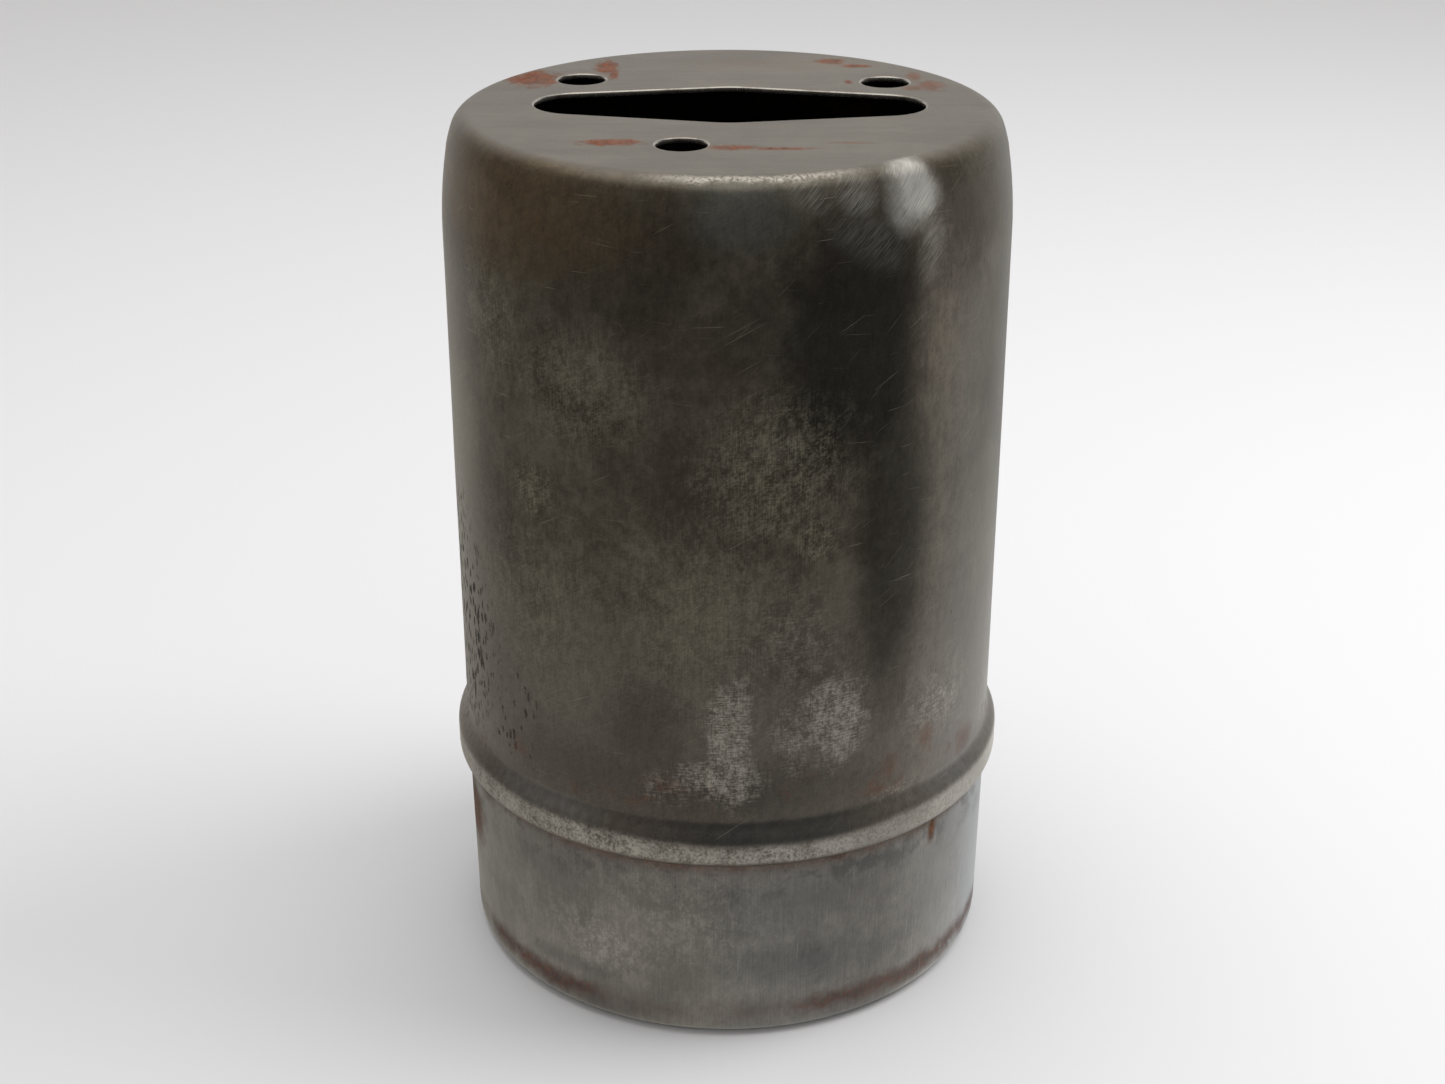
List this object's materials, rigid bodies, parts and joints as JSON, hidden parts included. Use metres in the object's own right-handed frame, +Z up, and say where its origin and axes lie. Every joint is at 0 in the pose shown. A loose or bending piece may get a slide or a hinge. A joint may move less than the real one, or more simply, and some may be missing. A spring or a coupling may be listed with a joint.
{
  "type": "expansion vessel",
  "caption": "Free-standing cylindrical diaphragm expansion vessel in drawn steel: flat crown with a slot and holes, rolled bead low on the body, recessed base with a threaded connector.",
  "frame": {"origin": "centre of the base, on the plane that the foot ring stands on", "axes": "+Z up along the vessel's axis, +X along the crown slot's length, the single front hole of the crown towards -Y"},
  "size_m": [0.207, 0.207, 0.3185],
  "materials": {
    "worn_steel": "dark, worn bare steel with fine scratches, light grey crown and light rust at the edges",
    "plated_steel": "dull zinc plating",
    "brass": "turned, dulled",
    "black_rubber": "matt moulded",
    "gasket_fibre": "matt red vulcanised fibre"
  },
  "bodies": {
    "casing": {"upper_shell": "worn_steel", "lower_shell": "worn_steel", "diaphragm": "black_rubber", "retaining_ring": "plated_steel", "connector_body": "brass", "connector_gasket": "gasket_fibre", "connector_washer": "plated_steel", "back_nut": "brass"},
    "button": {"button_disc": "plated_steel", "backing_washer": "plated_steel", "button_rivet": "plated_steel"}
  },
  "joints": [
    {"name": "diaphragm_stroke", "type": "slide", "parent": "casing", "child": "button", "axis": [0, 0, 1], "range_m": [0, 0.096], "deforming": ["diaphragm"]}
  ]
}
